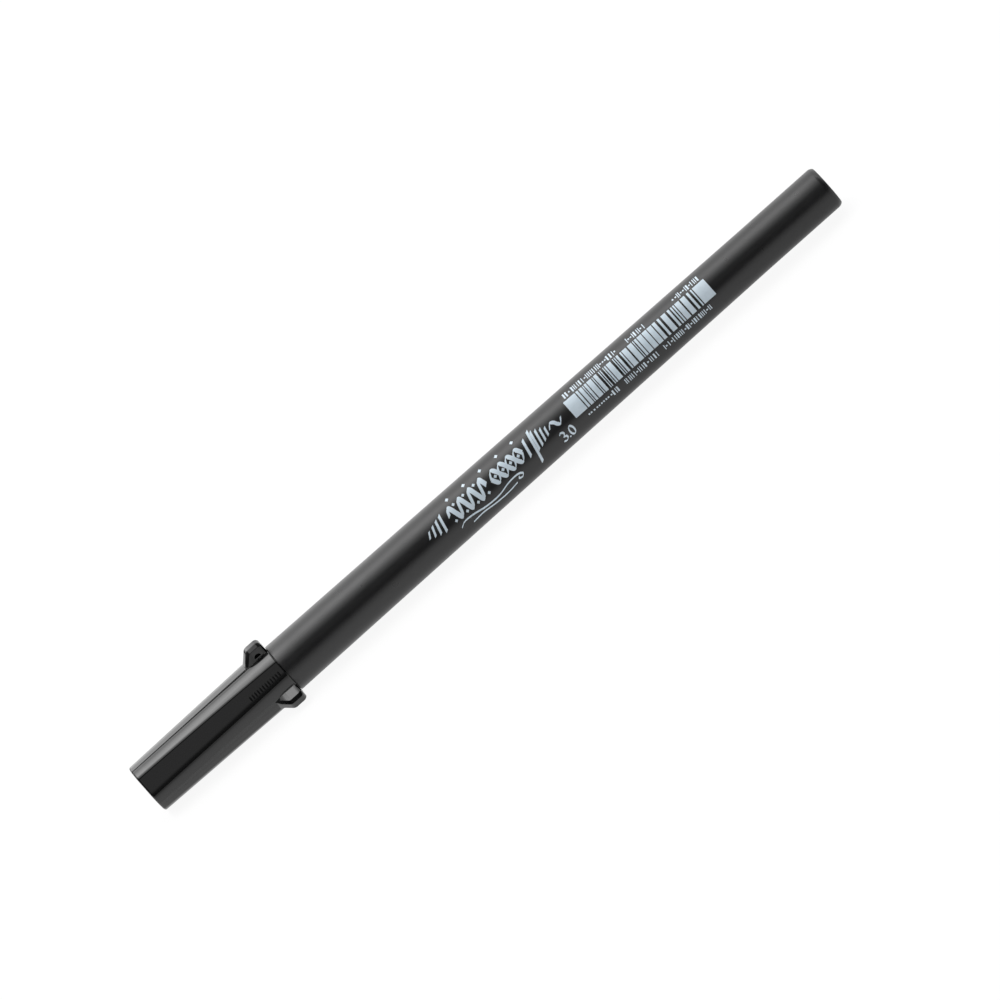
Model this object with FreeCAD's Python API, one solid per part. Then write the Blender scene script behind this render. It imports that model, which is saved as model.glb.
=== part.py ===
import FreeCAD, Part
import math
import os

# Calligraphy marker lying on a desk, cap on. Millimetres. X runs along the pen from the cap's
# closed end to the tail, Z is up, and Z = 0 is the desk. Stations are distances along X.

# Whole pen
TOTAL_LENGTH = 146.0
CAP_LENGTH = 29.25
MOUTH_GAP = 0.2

# Cap, outside
CAP_END_R = 4.50
CAP_MOUTH_R = 4.93
FLAT_END_DIST = 4.05
FLAT_MOUTH_DIST = 4.78
SIDES = 3
RIB_WIDTH = 2.4
CAP_END_ROUND = 0.35
CAP_MOUTH_ROUND = 0.15

# Fins at the cap's mouth
FIN_TIP_R = 6.95
FIN_TOP_LENGTH = 2.5
FIN_BASE_LENGTH = 4.3
FIN_RIM_WIDTH = 1.74
FIN_BEVEL = 0.5
FIN_CORNER_R = 0.4
FIN_POCKET_R = 0.62
FIN_POCKET_DEPTH = 0.6
FIN_POCKET_FROM_MOUTH = 1.7

# Cap, inside
BORE_MOUTH_R = 3.98
BORE_INNER_R = 3.88
BORE_DEPTH = 10.0
BORE_STEP = 1.2
LINER_SEAT_R = 3.38
LINER_SEAT_END_R = 3.24
CAP_FLOOR = 1.2
LEAD_IN = 0.25
GROOVE_DEPTH = 0.10

# Cap liner
LINER_DEPTH = 13.5
LINER_WALL = 0.45
LINER_FLOOR = 0.7
SEAL_CLEARANCE = 0.05
SEAL_LENGTH = 1.0
SEAL_FROM_FRONT = 2.5
LINER_WELL_R = 2.72

# Barrel tube
BARREL_FRONT_R = 4.49
LAND_R = 3.91
LAND_LENGTH = 16.0
SECTION_SEAT_R = 3.45
SECTION_SEAT_DEPTH = 9.0
BARREL_BORE_FRONT_R = 3.35
BARREL_BORE_TAIL_R = 3.02
PLUG_SEAT_R = 3.10
PLUG_SEAT_DEPTH = 6.5
BARREL_FRONT_ROUND = 0.15
TAIL_ROUND = 0.65

# Tail plug
PLUG_RECESS = 0.12
PLUG_DOME = 0.35
PLUG_WALL = 0.7
PLUG_CROWN = 1.2
PLUG_EDGE = 0.25

# Front section
CAP_SEAT_R = 3.80
CAP_SEAT_LENGTH = 8.2
CAP_SEAT_CHAMFER = 0.35
BEAD_R = 3.90
BEAD_LENGTH = 0.9
BEAD_STATION = 3.2
CONE_START_R = 3.05
CONE_LENGTH = 5.0
CONE_END_R = 2.62
NOZZLE_R = 2.40
NOZZLE_LENGTH = 4.8
NOZZLE_CHAMFER = 0.3
RESERVOIR_SOCKET_R = 2.95
SOCKET_DEPTH = 5.4
VENT_WIDTH = 0.5
VENT_DEPTH = 0.35

# Nib
NIB_WIDTH = 3.0
NIB_THICKNESS = 1.8
NIB_EDGE = 0.45
NIB_EXPOSED = 7.4
NIB_BEVEL_LENGTH = 3.4
NIB_SKEW_DEG = 10.0
NIB_CORNER = 0.25
NIB_SHANK_R = 0.8
NIB_SHANK_LENGTH = 5.0
NIB_POINT_LENGTH = 1.2

# Reservoir
FILM_R = 2.85
FILM_WALL = 0.10
RESERVOIR_LENGTH = 108.0
BREATHER_R = 0.6
BREATHER_WALL = 0.15
BREATHER_COVER = 0.15

# Derived stations and heights
AXIS_Z = FLAT_MOUTH_DIST
X_CAP_END = -TOTAL_LENGTH / 2
X_TAIL = TOTAL_LENGTH / 2
X_MOUTH = X_CAP_END + CAP_LENGTH
X_BARREL = X_MOUTH + MOUTH_GAP
X_LAND = X_TAIL - LAND_LENGTH
X_CAP_SEAT = X_BARREL - CAP_SEAT_LENGTH
X_CONE_END = X_CAP_SEAT - CAP_SEAT_CHAMFER - CONE_LENGTH
X_NOZZLE = X_CONE_END - NOZZLE_LENGTH
X_SOCKET = X_BARREL - SOCKET_DEPTH
X_LINER = X_CAP_END + CAP_FLOOR + LINER_DEPTH
X_BEAD = X_BARREL - BEAD_STATION
FIBRE_R = FILM_R - FILM_WALL
BREATHER_OFFSET = FIBRE_R - BREATHER_R - BREATHER_COVER

X_DIR = FreeCAD.Vector(1, 0, 0)
ORIGIN = FreeCAD.Vector(0, 0, 0)


def rounded_wire(points, radii):
    """Closed wire through the points, each corner rounded by its own radius."""
    edges = []
    starts = []
    ends = []
    mids = []
    count = len(points)
    for i in range(count):
        here = points[i]
        to_prev = (points[i - 1] - here).normalize()
        to_next = (points[(i + 1) % count] - here).normalize()
        half = to_prev.getAngle(to_next) / 2
        trim = radii[i] / math.tan(half)
        bisector = (to_prev + to_next).normalize()
        starts.append(here + to_prev * trim)
        ends.append(here + to_next * trim)
        mids.append(here + bisector * (radii[i] / math.sin(half) - radii[i]))
    for i in range(count):
        if radii[i] > 0:
            edges.append(Part.Arc(starts[i], mids[i], ends[i]).toShape())
        edges.append(Part.makeLine(ends[i], starts[(i + 1) % count]))
    return Part.Wire(edges)


def turned(profile):
    """Solid of revolution about X from (station, radius) points, first and last on one line."""
    points = [FreeCAD.Vector(x, 0, r) for x, r in profile]
    face = Part.Face(Part.makePolygon(points + points[:1]))
    return face.revolve(ORIGIN, X_DIR, 360)


def rounded_rims(shape, radius, station, rim_radius):
    """Round the circular edges of a turned shape that lie at one station and radius."""
    slack = radius / 10
    rims = []
    for edge in shape.Edges:
        box = edge.BoundBox
        flat = abs(box.XMin - station) < slack and abs(box.XMax - station) < slack
        if flat and abs(box.ZMax - rim_radius) < slack:
            rims.append(edge)
    return shape.makeFillet(radius, rims)


def tapered_block(x_start, x_end, low_start, low_end, top_start, top_end, width):
    """Block along X whose bottom and top slope between its two ends."""
    wires = []
    for x, low, top in ((x_start, low_start, top_start), (x_end, low_end, top_end)):
        corners = [
            FreeCAD.Vector(x, -width / 2, low),
            FreeCAD.Vector(x, width / 2, low),
            FreeCAD.Vector(x, width / 2, top),
            FreeCAD.Vector(x, -width / 2, top),
        ]
        wires.append(Part.makePolygon(corners + corners[:1]))
    return Part.makeLoft(wires, True, True)


def spun(shape, angle):
    """Copy of a shape turned about the pen's axis, from up towards the side that bears the print."""
    copy = shape.copy()
    copy.rotate(ORIGIN, X_DIR, angle)
    return copy


def fin_wire(y, inset):
    """Outline of a fin in a plane of constant Y, its free edges drawn in by the inset."""
    root = (BORE_MOUTH_R + FLAT_MOUTH_DIST) / 2
    slope = (FIN_BASE_LENGTH - FIN_TOP_LENGTH) / (FIN_TIP_R - CAP_MOUTH_R)
    slope_inset = inset * math.hypot(1, slope)
    top = FIN_TIP_R - inset
    back = X_MOUTH - inset
    far_top = X_MOUTH - FIN_TOP_LENGTH - slope * inset + slope_inset
    far_root = X_MOUTH - FIN_TOP_LENGTH - slope * (FIN_TIP_R - root) + slope_inset
    corners = [
        FreeCAD.Vector(back, y, root),
        FreeCAD.Vector(back, y, top),
        FreeCAD.Vector(far_top, y, top),
        FreeCAD.Vector(far_root, y, root),
    ]
    return rounded_wire(corners, [0, FIN_CORNER_R, FIN_CORNER_R, 0])


def fin():
    """One anti-roll fin standing up from the cap's mouth, with bevelled edges and a side pocket."""
    planes = [
        (-RIB_WIDTH / 2, FIN_BEVEL),
        (-FIN_RIM_WIDTH / 2, 0),
        (FIN_RIM_WIDTH / 2, 0),
        (RIB_WIDTH / 2, FIN_BEVEL),
    ]
    plate = Part.makeLoft([fin_wire(y, inset) for y, inset in planes], True, True)
    pocket_start = FreeCAD.Vector(
        X_MOUTH - FIN_POCKET_FROM_MOUTH, -RIB_WIDTH / 2 - FIN_POCKET_DEPTH, CAP_MOUTH_R
    )
    pocket = Part.makeCylinder(
        FIN_POCKET_R, 2 * FIN_POCKET_DEPTH, pocket_start, FreeCAD.Vector(0, 1, 0)
    )
    return plate.cut(pocket)


def rounded_end(shape, station, radius, low_z):
    """Round a cap solid's edges that lie at one station and above a height."""
    edges = []
    for edge in shape.Edges:
        box = edge.BoundBox
        if abs(box.XMin - station) < radius and abs(box.XMax - station) < radius and box.ZMin > low_z:
            edges.append(edge)
    return shape.makeFillet(radius, edges)


def cap_outside():
    """Conical cap body with a rib under each fin and a wide sloping flat between ribs."""
    start = FreeCAD.Vector(X_CAP_END, 0, 0)
    body = Part.makeCone(CAP_END_R, CAP_MOUTH_R, CAP_LENGTH, start, X_DIR)
    rib = tapered_block(X_CAP_END, X_MOUTH, 0, 0, CAP_END_R, CAP_MOUTH_R, RIB_WIDTH)
    shave = tapered_block(
        X_CAP_END, X_MOUTH, FLAT_END_DIST, FLAT_MOUTH_DIST, FIN_TIP_R, FIN_TIP_R, 2 * FIN_TIP_R
    )
    pitch = 360 / SIDES
    for side in range(SIDES):
        body = body.cut(spun(shave, (side + 0.5) * pitch))
    for station, radius in ((X_CAP_END, CAP_END_ROUND), (X_MOUTH, CAP_MOUTH_ROUND)):
        rib = rounded_end(rib, station, radius, CAP_END_R / 2)
        body = rounded_end(body, station, radius, -FIN_TIP_R)
    for side in range(SIDES):
        body = body.fuse(spun(rib, side * pitch))
    return body.removeSplitter()


def cap_inside():
    """Hollow of the cap: lead-in, bore with snap groove, step, and the liner's seat."""
    x_step = X_MOUTH - BORE_DEPTH
    x_seat = x_step - BORE_STEP
    x_floor = X_CAP_END + CAP_FLOOR
    groove_r = BORE_MOUTH_R + GROOVE_DEPTH
    profile = [
        (X_MOUTH + LEAD_IN, 0),
        (X_MOUTH + LEAD_IN, BORE_MOUTH_R + 2 * LEAD_IN),
        (X_MOUTH - LEAD_IN, BORE_MOUTH_R),
        (X_BEAD + BEAD_LENGTH, BORE_MOUTH_R),
        (X_BEAD + BEAD_LENGTH / 2, groove_r),
        (X_BEAD - BEAD_LENGTH / 2, groove_r),
        (X_BEAD - BEAD_LENGTH, BORE_MOUTH_R),
        (x_step, BORE_INNER_R),
        (x_seat, LINER_SEAT_R),
        (x_floor, LINER_SEAT_END_R),
        (x_floor, 0),
    ]
    return turned(profile)


def cap_shell():
    """Cap moulding: faceted body, three fins, hollow inside."""
    shell = cap_outside()
    for side in range(SIDES):
        shell = shell.fuse(spun(fin(), side * 360 / SIDES))
    shell = shell.cut(cap_inside())
    return shell.removeSplitter()


def cap_liner():
    """Inner cup pressed into the cap's end, with a lip that seals round the nozzle."""
    x_floor = X_CAP_END + CAP_FLOOR
    seat_length = CAP_LENGTH - BORE_DEPTH - BORE_STEP - CAP_FLOOR
    front_share = LINER_DEPTH / seat_length
    front_r = LINER_SEAT_END_R + (LINER_SEAT_R - LINER_SEAT_END_R) * front_share
    lip_r = NOZZLE_R + SEAL_CLEARANCE
    x_lip = X_LINER - SEAL_FROM_FRONT
    x_lip_end = x_lip - SEAL_LENGTH
    lip_slope = front_r - LINER_WALL - lip_r
    well_slope = LINER_WELL_R - lip_r
    profile = [
        (x_floor, 0),
        (x_floor, LINER_SEAT_END_R),
        (X_LINER, front_r),
        (X_LINER, front_r - LINER_WALL),
        (x_lip + lip_slope, front_r - LINER_WALL),
        (x_lip, lip_r),
        (x_lip_end, lip_r),
        (x_lip_end - well_slope, LINER_WELL_R),
        (x_floor + LINER_FLOOR, LINER_WELL_R),
        (x_floor + LINER_FLOOR, 0),
    ]
    return turned(profile)


def barrel_tube():
    """Tapered tube with a parallel land at the tail and a stepped seat inside each end."""
    x_front_step = X_BARREL + SECTION_SEAT_DEPTH
    x_tail_step = X_TAIL - PLUG_SEAT_DEPTH
    profile = [
        (X_BARREL, SECTION_SEAT_R),
        (X_BARREL, BARREL_FRONT_R),
        (X_LAND, LAND_R),
        (X_TAIL, LAND_R),
        (X_TAIL, PLUG_SEAT_R),
        (x_tail_step, PLUG_SEAT_R),
        (x_tail_step, BARREL_BORE_TAIL_R),
        (x_front_step, BARREL_BORE_FRONT_R),
        (x_front_step, SECTION_SEAT_R),
    ]
    tube = turned(profile)
    tube = rounded_rims(tube, BARREL_FRONT_ROUND, X_BARREL, BARREL_FRONT_R)
    return rounded_rims(tube, TAIL_ROUND, X_TAIL, LAND_R)


def tail_plug():
    """Cup pressed into the tail, its crown slightly domed and set just inside the rim."""
    x_crown = X_TAIL - PLUG_RECESS
    x_inner = X_TAIL - PLUG_SEAT_DEPTH
    chord = PLUG_SEAT_R - PLUG_EDGE
    dome_r = (chord ** 2 + PLUG_DOME ** 2) / (2 * PLUG_DOME)
    outline = [
        (x_crown - PLUG_CROWN, 0),
        (x_crown - PLUG_CROWN, PLUG_SEAT_R - PLUG_WALL),
        (x_inner, PLUG_SEAT_R - PLUG_WALL),
        (x_inner, PLUG_SEAT_R),
        (x_crown - PLUG_EDGE - PLUG_DOME, PLUG_SEAT_R),
        (x_crown - PLUG_DOME, chord),
        (x_crown, chord),
        (x_crown, 0),
    ]
    plug = turned(outline)
    dome = Part.makeSphere(dome_r, FreeCAD.Vector(x_crown - dome_r, 0, 0))
    return plug.common(dome)


def section_outside():
    """Outline of the front section: barrel plug, cap seat with snap bead, cone and nozzle."""
    x_rear = X_BARREL + SECTION_SEAT_DEPTH
    x_chamfer = X_CAP_SEAT - CAP_SEAT_CHAMFER
    nose_r = NOZZLE_R - NOZZLE_CHAMFER
    return turned([
        (x_rear, 0),
        (x_rear, SECTION_SEAT_R),
        (X_BARREL, SECTION_SEAT_R),
        (X_BARREL, CAP_SEAT_R),
        (X_BEAD + BEAD_LENGTH / 2, CAP_SEAT_R),
        (X_BEAD + BEAD_LENGTH / 6, BEAD_R),
        (X_BEAD - BEAD_LENGTH / 6, BEAD_R),
        (X_BEAD - BEAD_LENGTH / 2, CAP_SEAT_R),
        (X_CAP_SEAT, CAP_SEAT_R),
        (x_chamfer, CAP_SEAT_R - CAP_SEAT_CHAMFER),
        (x_chamfer, CONE_START_R),
        (X_CONE_END, CONE_END_R),
        (X_CONE_END, NOZZLE_R),
        (X_NOZZLE + NOZZLE_CHAMFER, NOZZLE_R),
        (X_NOZZLE, nose_r),
        (X_NOZZLE, 0),
    ])


def front_section():
    """Front section, hollow for the reservoir and slotted for the nib, with two air vents."""
    body = section_outside()
    x_rear = X_BARREL + SECTION_SEAT_DEPTH
    socket_start = FreeCAD.Vector(X_SOCKET, 0, 0)
    body = body.cut(Part.makeCylinder(RESERVOIR_SOCKET_R, x_rear - X_SOCKET, socket_start, X_DIR))
    slot_length = X_SOCKET - X_NOZZLE
    slot_corner = FreeCAD.Vector(X_NOZZLE, -NIB_THICKNESS / 2, -NIB_WIDTH / 2)
    body = body.cut(Part.makeBox(slot_length, NIB_THICKNESS, NIB_WIDTH, slot_corner))
    vent_height = NIB_THICKNESS + 2 * VENT_DEPTH
    vent_corner = FreeCAD.Vector(X_NOZZLE, -vent_height / 2, -VENT_WIDTH / 2)
    return body.cut(Part.makeBox(slot_length, vent_height, VENT_WIDTH, vent_corner))


def nib():
    """Broad chisel nib: flat blade bevelled to a skewed edge, with a round shank behind."""
    x_tip = X_NOZZLE - NIB_EXPOSED
    blade_length = X_SOCKET - x_tip
    corner = FreeCAD.Vector(x_tip, -NIB_THICKNESS / 2, -NIB_WIDTH / 2)
    blade = Part.makeBox(blade_length, NIB_THICKNESS, NIB_WIDTH, corner)
    long_edges = [edge for edge in blade.Edges if edge.BoundBox.XLength > blade_length / 2]
    blade = blade.makeFillet(NIB_CORNER, long_edges)
    blade = blade.common(nib_wedge(x_tip, blade_length))
    shank_start = FreeCAD.Vector(X_SOCKET, 0, 0)
    shank = Part.makeCylinder(NIB_SHANK_R, NIB_SHANK_LENGTH, shank_start, X_DIR)
    point_start = FreeCAD.Vector(X_SOCKET + NIB_SHANK_LENGTH, 0, 0)
    point = Part.makeCone(NIB_SHANK_R, NIB_SHANK_R / 2, NIB_POINT_LENGTH, point_start, X_DIR)
    return blade.fuse(shank).fuse(point).removeSplitter()


def nib_wedge(x_tip, blade_length):
    """Wedge that narrows to the nib's writing edge, skewed across the blade's width."""
    skew = NIB_WIDTH * math.tan(math.radians(NIB_SKEW_DEG))
    x_bevel = x_tip + NIB_BEVEL_LENGTH
    x_back = x_tip + blade_length
    outlines = []
    for z, shift in ((-NIB_WIDTH / 2, skew), (NIB_WIDTH / 2, 0)):
        corners = [
            FreeCAD.Vector(x_tip + shift, -NIB_EDGE / 2, z),
            FreeCAD.Vector(x_tip + shift, NIB_EDGE / 2, z),
            FreeCAD.Vector(x_bevel + shift, NIB_THICKNESS / 2, z),
            FreeCAD.Vector(x_back, NIB_THICKNESS / 2, z),
            FreeCAD.Vector(x_back, -NIB_THICKNESS / 2, z),
            FreeCAD.Vector(x_bevel + shift, -NIB_THICKNESS / 2, z),
        ]
        outlines.append(Part.makePolygon(corners + corners[:1]))
    return Part.makeLoft(outlines, True, True)


def breather_tube():
    """Thin air tube running the length of the fibre bundle, near its edge."""
    start = FreeCAD.Vector(X_SOCKET, 0, -BREATHER_OFFSET)
    outer = Part.makeCylinder(BREATHER_R, RESERVOIR_LENGTH, start, X_DIR)
    inner = Part.makeCylinder(BREATHER_R - BREATHER_WALL, RESERVOIR_LENGTH, start, X_DIR)
    return outer.cut(inner)


def reservoir_fibre():
    """Ink-holding fibre bundle, pierced by the breather tube and by the nib's shank."""
    start = FreeCAD.Vector(X_SOCKET, 0, 0)
    bundle = Part.makeCylinder(FIBRE_R, RESERVOIR_LENGTH, start, X_DIR)
    tube_start = FreeCAD.Vector(X_SOCKET, 0, -BREATHER_OFFSET)
    bundle = bundle.cut(Part.makeCylinder(BREATHER_R, RESERVOIR_LENGTH, tube_start, X_DIR))
    shank_hole = Part.makeCylinder(NIB_SHANK_R, NIB_SHANK_LENGTH, start, X_DIR)
    point_start = FreeCAD.Vector(X_SOCKET + NIB_SHANK_LENGTH, 0, 0)
    point = Part.makeCone(NIB_SHANK_R, NIB_SHANK_R / 2, NIB_POINT_LENGTH, point_start, X_DIR)
    return bundle.cut(shank_hole.fuse(point))


def reservoir_film():
    """Plastic film sleeve wrapped round the fibre bundle."""
    start = FreeCAD.Vector(X_SOCKET, 0, 0)
    outer = Part.makeCylinder(FILM_R, RESERVOIR_LENGTH, start, X_DIR)
    return outer.cut(Part.makeCylinder(FIBRE_R, RESERVOIR_LENGTH, start, X_DIR))


def main():
    os.makedirs("parts", exist_ok=True)
    nodes = {
        "barrel_tube": barrel_tube,
        "tail_plug": tail_plug,
        "front_section": front_section,
        "nib": nib,
        "reservoir_fibre": reservoir_fibre,
        "reservoir_film": reservoir_film,
        "breather_tube": breather_tube,
        "cap_shell": cap_shell,
        "cap_liner": cap_liner,
    }
    for name, build in nodes.items():
        shape = build()
        shape.translate(FreeCAD.Vector(0, 0, AXIS_Z))
        shape.exportStep("parts/" + name + ".step")


main()
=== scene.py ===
import math
import random

import bmesh
import bpy
from mathutils import Matrix, Vector


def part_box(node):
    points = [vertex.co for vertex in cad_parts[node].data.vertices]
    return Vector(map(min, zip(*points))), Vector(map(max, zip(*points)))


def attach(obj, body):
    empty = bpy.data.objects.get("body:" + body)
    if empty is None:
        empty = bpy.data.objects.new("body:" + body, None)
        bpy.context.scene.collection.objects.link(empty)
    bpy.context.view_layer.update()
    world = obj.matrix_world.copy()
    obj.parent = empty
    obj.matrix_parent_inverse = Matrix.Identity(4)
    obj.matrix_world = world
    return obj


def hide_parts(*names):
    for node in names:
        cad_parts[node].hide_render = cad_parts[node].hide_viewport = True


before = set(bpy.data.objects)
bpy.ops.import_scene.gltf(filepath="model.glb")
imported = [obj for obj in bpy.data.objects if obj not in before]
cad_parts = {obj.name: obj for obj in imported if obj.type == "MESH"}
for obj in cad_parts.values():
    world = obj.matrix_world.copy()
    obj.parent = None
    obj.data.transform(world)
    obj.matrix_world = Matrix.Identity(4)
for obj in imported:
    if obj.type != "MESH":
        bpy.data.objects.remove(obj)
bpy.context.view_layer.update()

# Calligraphy marker lying capped on a pale floor. Meshes are built in millimetres about the pen's
# axis and placed in the frame's metres. X runs from the cap to the tail, the print faces -Y and up.
MM = 0.001
SHARP_DEG = 32


def in_mm(value):
    """A length in metres, given in millimetres."""
    return value / MM


barrel_low, barrel_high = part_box("barrel_tube")
cap_low, cap_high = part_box("cap_shell")
nib_low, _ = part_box("nib")
plug_low, plug_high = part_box("tail_plug")
AXIS_Z = (barrel_low.z + barrel_high.z) / 2

# Camera
ELEVATION_DEG = 25.0
ROLL_DEG = 41.62
DISTANCE = 1.6
FRAME_WIDTH = 0.16044
SENSOR_MM = 36.0
AIM_RIGHT = 2.06 * MM
AIM_DOWN = 2.02 * MM

# Barrel
X_BARREL = in_mm(barrel_low.x)
X_TAIL = in_mm(barrel_high.x)
BARREL_FRONT_R = in_mm(barrel_high.z - AXIS_Z)
LAND_R = 3.91
LAND_LENGTH = 16.0
BARREL_FRONT_ROUND = 0.1
FRONT_LIP = 0.13
FRONT_LIP_R = 3.86
SHARP_CORNER_R = 0.04
TAIL_SHOULDER = (0.45, 1.2)
TAIL_EDGE = (0.40, 0.35)
SECTION_SEAT_R = 3.45
SECTION_SEAT_DEPTH = 9.0
BARREL_BORE_R = 3.02
PLUG_SEAT_R = 3.10
PLUG_SEAT_DEPTH = 6.5
PLUG_PROFILE = [
    (0.16, 0.10), (0.14, 0.24), (0.05, 0.34), (0.0, 0.45), (0.01, 0.8), (0.04, 1.15), (0.10, 1.22),
    (0.11, 1.34), (0.08, 1.42), (0.14, 1.8), (0.21, 2.2), (0.29, 2.6), (0.36, 2.85), (0.44, 3.0),
    (0.56, 3.08), (0.7, 3.10),
]
PLUG_HOLLOW_R = 2.4
PLUG_WALL = 1.3
PLUG_SIDES = 96
BARREL_SIDES = 192
STATION_PITCH = 4.0

# Cap
X_CAP_END = in_mm(cap_low.x)
X_MOUTH = in_mm(cap_high.x)
CAP_END_R = 4.50
CAP_MOUTH_R = 4.93
FLAT_END_DIST = 4.05
FLAT_MOUTH_DIST = 4.78
STEP_SIDE_EDGE_R = 1.3
PLAIN_END_EDGE_R = 2.8
PLAIN_MOUTH_EDGE_R = 3.2
CAP_END_ROUND = 0.35
CAP_MOUTH_ROUND = 0.14
SIDES = 3
RIB_END_HALF = 0.82
RIB_HALF = 1.2
RIB_EDGE = 0.03
RIB_ROUND = 0.02
RIB_FOOT_SPREAD = 0.01
RIB_DIP_END = 0.0225
RIB_DIP_MOUTH = 0.075
RIB_DIP_STEPS = 2
FIN_TIP_R = in_mm(cap_high.z - AXIS_Z)
FIN_TOP_LENGTH = 2.62
FIN_BASE_LENGTH = 4.42
FIN_RIM_HALF = 0.68
FIN_BEVEL = 0.55
FIN_SLOPE_BEVEL = 0.46
FIN_CLOSING = 0.3
FIN_CLOSED_SPREAD = 0.25
FIN_CLOSED_SHARE = 0.4
FIN_ROUND = 0.14
FIN_ROUND_FROM = 0.6
FIN_DRAFT = 0.16
FIN_DRAFT_RISE = 3
FIN_ROOT = 0.1
FIN_FRONT_CORNER_R = 0.95
FIN_BACK_CORNER_R = 0.75
POCKET_HALF = 0.62
POCKET_RISE = 0.55
POCKET_LIFT = 0.13
POCKET_INNER = 0.2
POCKET_FROM_MOUTH = 1.7
POCKET_SILL = 0.05
CAP_END_PROFILE = [(0.12, 0.25), (0.11, 0.5), (0.05, 0.6), (0.0, 0.68), (0.0, 1.6), (0.0, 2.6)]
CAP_END_RING = 0.88
BORE_PROFILE = [(0.0, 4.23), (0.25, 3.98), (2.1, 3.98), (2.55, 4.08), (3.45, 4.08), (3.9, 3.98),
                (10.0, 3.88), (11.2, 3.38), (28.05, 3.24), (28.05, 1.6)]
MARK_FROM_MOUTH = 7.0
MARK_PITCH = 0.55
MARK_COUNT = 12
MARK_HALF_WIDTH = 0.15
MARK_HALF_HEIGHT = 0.5
MARK_DROP = 0.62
MARK_SIDES = 16
MARK_PROFILE = ((1.0, -0.02), (1.0, 0.012), (0.75, 0.03), (0.3, 0.034))
PLAIN_PITCH = 2.0
LEAST_PITCH = 0.008
TINY_ROUND = 0.004
FIN_STEPS = 7
RIB_STEPS = 4
RIB_TOP_STEPS = 3
ARC_STEPS = 8
FLAT_STEPS = 5

# Edge wear: how sharp an edge has to be to be rubbed, and its colour there
WEAR_FROM = 0.53
WEAR_TO = 0.60
WEAR_COLOR = (0.09, 0.09, 0.092, 1)

# Nib
NIB_HALF_WIDTH = 1.5
NIB_HALF_THICKNESS = 0.9
NIB_HALF_EDGE = 0.225
NIB_BEVEL_LENGTH = 3.4
NIB_BLADE_LENGTH = 20.35
NIB_SKEW = 0.529
NIB_CORNER = 0.25
NIB_TIP_ROUND = 0.07
NIB_SHANK_R = 0.8
NIB_SHANK_LENGTH = 5.0
NIB_POINT_LENGTH = 1.2
NIB_CORNER_SHARE = 0.8
NIB_CORNER_STEPS = 5
NIB_BEVEL_STEPS = 5
NIB_BLADE_STEPS = 8

# Print on the barrel
PRINT_FACE_DEG = 155.0
PRINT_LIFT = 0.012
PEN_SLANT_DEG = 40.0
HAIRLINE = 0.13
STROKE_END_REACH = 1.3
RIBBON_COLUMNS = 4
BLOCK_PITCH = 0.25
WAVE_STEPS = 30
STRIPES_LEFT = 18.05
STRIPES_RIGHT = 48.0
STRIPES_LOW = -1.22
STRIPES_HIGH = 2.12
STRIPES_MARGIN = 2.4
STRIPES_GAP = 0.2
STRIPES_LAST_BAR = 0.6
FINE_TICK = 0.14
FINE_DOT_SHARE = 0.3
FINE_ROWS = [(18.7, 29.7, 2.46, 3.56), (32.2, 36.1, 2.46, 3.56), (42.0, 47.5, 2.46, 3.56),
             (19.9, 26.4, -2.72, -1.72), (27.8, 34.7, -2.72, -1.72), (36.1, 46.3, -2.72, -1.76)]

# Brightness of the studio round the pen's axis: degrees up from the camera's side, floor white = 1
SKY = [(-180, 1.0), (-90, 0.8), (-5, 0.9), (2, 0.04), (20, 0.10), (33, 0.42), (37, 0.43), (39, 0.04),
       (49, 0.04), (54, 1.3), (64, 1.7), (78, 4.4), (92, 6.6), (104, 5.2), (118, 2.7), (135, 2.3),
       (160, 2.1), (180, 1.7)]
SKY_TOP = 10.0

# How that brightness changes along the pen: it falls off to the tail's side and beyond the cap's
SIDE_FALL = 6.0
SIDE_MOST = 1.5
SIDE_LEAST = 0.12
REAR_LEAST = 0.75
REAR_RISE = 4.0
CAP_SIDE_EDGE = 0.5

# Floor, and the sheet that the pen's gloss sees in its place: its glow falls off along an axis,
# between two places in metres, from one strength to another. This graded glow is painted light and
# shade. It is dimmest far in front of the pen. It is dimmer close under and behind the pen, as a
# painted shadow of the pen on the floor, and dimmer towards the tail.
FLOOR_REACH = 3.0
FLOOR_DROP = 0.02
FLOOR_ALBEDO = 0.07
FLOOR_GLOW = 0.92
BOUNCE_DROP = 0.04
BOUNCE_ALBEDO = 0.25
# Painted shade in the sheet's glow: far in front, under and behind the pen, towards the tail
BOUNCE_PAINTED_SHADE = [
    ("Y", -0.045, -0.010, 0.35, 1.02),
    ("Y", -0.009, -0.001, 1.0, 0.8),
    ("X", 0.0, 0.075, 1.0, 0.76),
]

# Black card behind the cap
FLAG_Y = 0.20
FLAG_SPAN = (-0.60, -0.092)
FLAG_HEIGHT = (0.0, 0.035)


def place(x, y, z):
    """Point given in millimetres about the pen's axis, in the frame's metres."""
    return Vector((x * MM, y * MM, z * MM + AXIS_Z))


def blend(a, b, share):
    """Value between a and b; the share is held between 0 and 1."""
    return a + (b - a) * min(max(share, 0.0), 1.0)


def rounded(points, radii, steps=5):
    """Closed 2-D outline whose corners are replaced by arcs, each of its own radius."""
    outline = []
    for i, radius in enumerate(radii):
        here = Vector(points[i])
        if radius == 0:
            outline.append(here)
            continue
        before = (Vector(points[i - 1]) - here).normalized()
        after = (Vector(points[(i + 1) % len(points)]) - here).normalized()
        half = before.angle(after) / 2
        centre = here + (before + after).normalized() * radius / math.sin(half)
        start = here + before * radius / math.tan(half) - centre
        finish = here + after * radius / math.tan(half) - centre
        angle = math.atan2(start.x * finish.y - start.y * finish.x, start.dot(finish))
        for step in range(steps + 1):
            outline.append(centre + Matrix.Rotation(angle * step / steps, 2) @ start)
    return outline


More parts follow.
